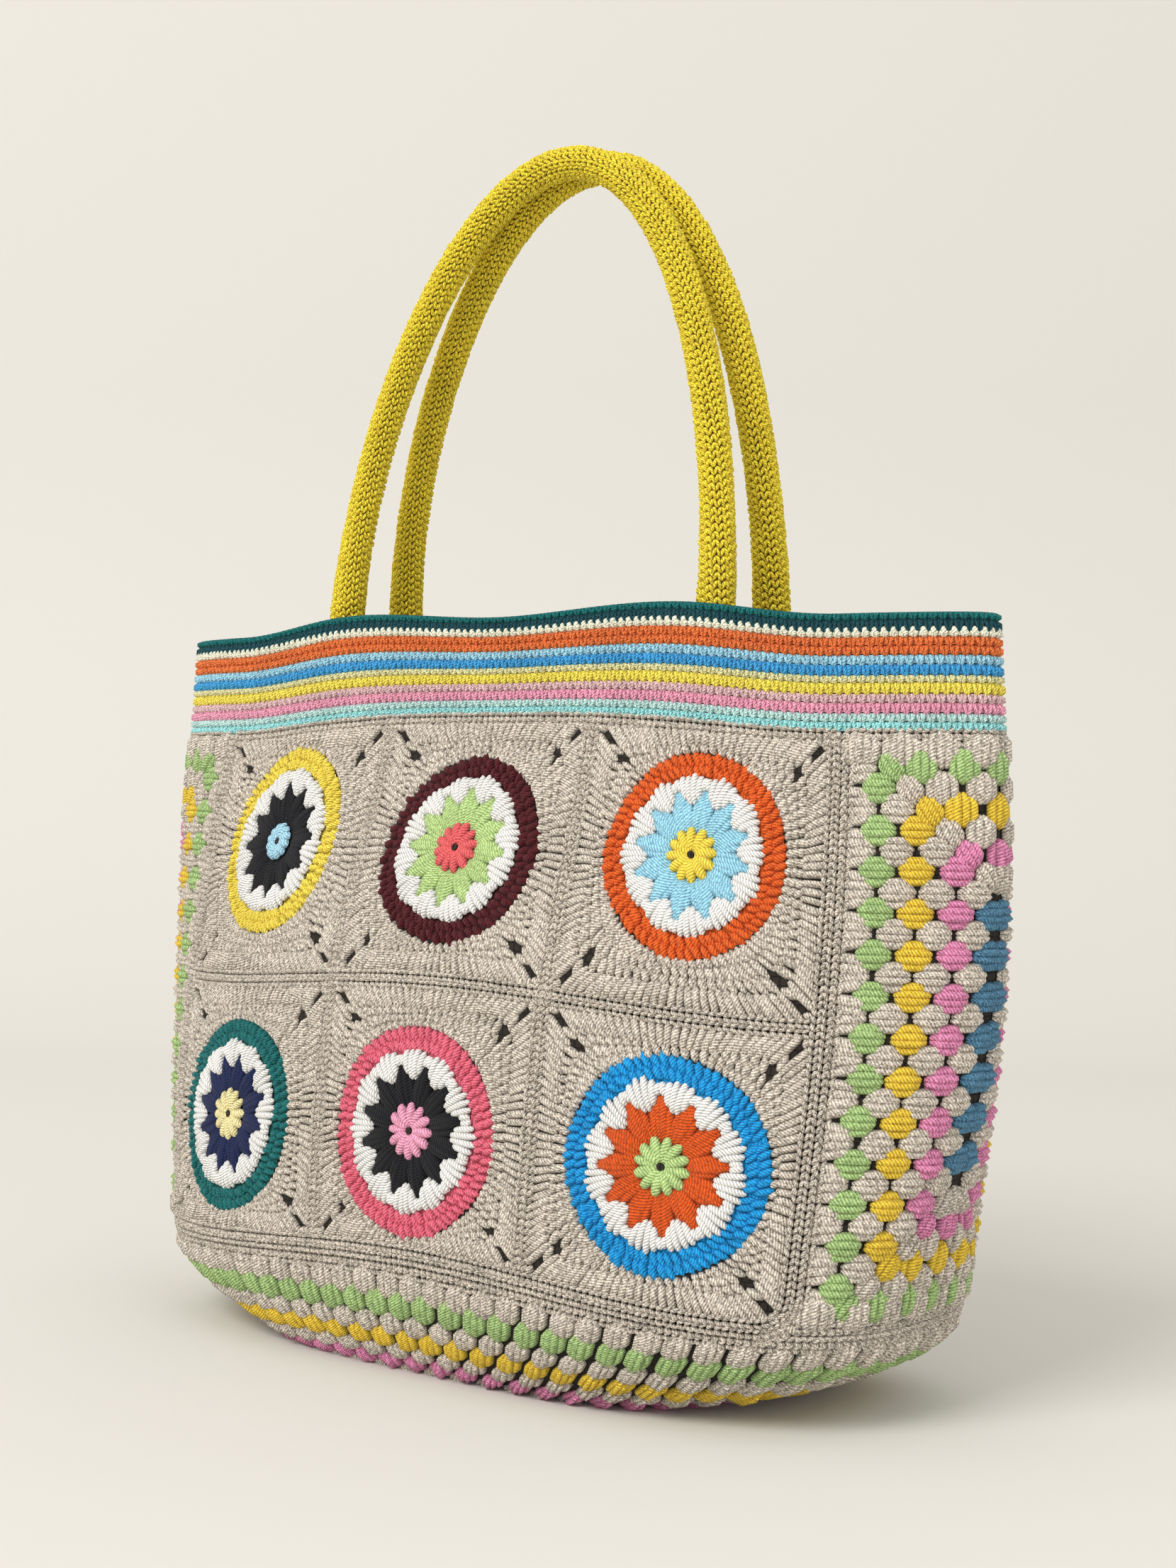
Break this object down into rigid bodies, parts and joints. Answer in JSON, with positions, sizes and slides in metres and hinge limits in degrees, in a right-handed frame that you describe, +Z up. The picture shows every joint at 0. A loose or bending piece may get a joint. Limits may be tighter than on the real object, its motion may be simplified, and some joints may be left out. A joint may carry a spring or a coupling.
{
  "type": "crochet shoulder bag",
  "caption": "Soft crochet bag with circle-in-square panels, granny rectangle gussets and bottom, a striped band and a pair of knitted tube handles",
  "frame": {"origin": "middle of the floor under the standing bag", "axes": "+Z up, the front panel faces -Y, +X to the right as seen from the front"},
  "size_m": [0.516, 0.193, 0.5972],
  "materials": {
    "greige_cotton": "heathered grey beige crochet cotton",
    "striped_cotton": "single crochet rows in teal, cream, orange, blue, yellow, pink and aqua cotton",
    "mustard_cotton": "mustard yellow knitted cotton tube",
    "yellow_cotton": "warm yellow crochet cotton with white and black rounds",
    "maroon_cotton": "dark maroon crochet cotton with white and light green rounds",
    "orange_cotton": "orange crochet cotton with cream and light blue rounds",
    "teal_cotton": "teal crochet cotton with white and navy rounds",
    "coral_cotton": "coral pink crochet cotton with white and black rounds",
    "sky_cotton": "sky blue crochet cotton with white and rust orange rounds"
  },
  "bodies": {
    "root": {"back_cross_seam_left": "greige_cotton", "back_cross_seam_middle": "greige_cotton", "back_cross_seam_right": "greige_cotton", "back_edge_ridge": "greige_cotton", "back_handle": "mustard_cotton", "back_motif_bottom_left": "teal_cotton", "back_motif_bottom_middle": "coral_cotton", "back_motif_bottom_right": "sky_cotton", "back_motif_top_left": "yellow_cotton", "back_motif_top_middle": "maroon_cotton", "back_motif_top_right": "orange_cotton", "back_square_bottom_left": "greige_cotton", "back_square_bottom_middle": "greige_cotton", "back_square_bottom_right": "greige_cotton", "back_square_top_left": "greige_cotton", "back_square_top_middle": "greige_cotton", "back_square_top_right": "greige_cotton", "back_upright_seam_left": "greige_cotton", "back_upright_seam_right": "greige_cotton", "bottom_panel": "greige_cotton", "front_cross_seam_left": "greige_cotton", "front_cross_seam_middle": "greige_cotton", "front_cross_seam_right": "greige_cotton", "front_edge_ridge": "greige_cotton", "front_handle": "mustard_cotton", "front_motif_bottom_left": "teal_cotton", "front_motif_bottom_middle": "coral_cotton", "front_motif_bottom_right": "sky_cotton", "front_motif_top_left": "yellow_cotton", "front_motif_top_middle": "maroon_cotton", "front_motif_top_right": "orange_cotton", "front_square_bottom_left": "greige_cotton", "front_square_bottom_middle": "greige_cotton", "front_square_bottom_right": "greige_cotton", "front_square_top_left": "greige_cotton", "front_square_top_middle": "greige_cotton", "front_square_top_right": "greige_cotton", "front_upright_seam_left": "greige_cotton", "front_upright_seam_right": "greige_cotton", "left_gusset": "greige_cotton", "right_gusset": "greige_cotton", "top_band": "striped_cotton"}
  },
  "joints": []
}
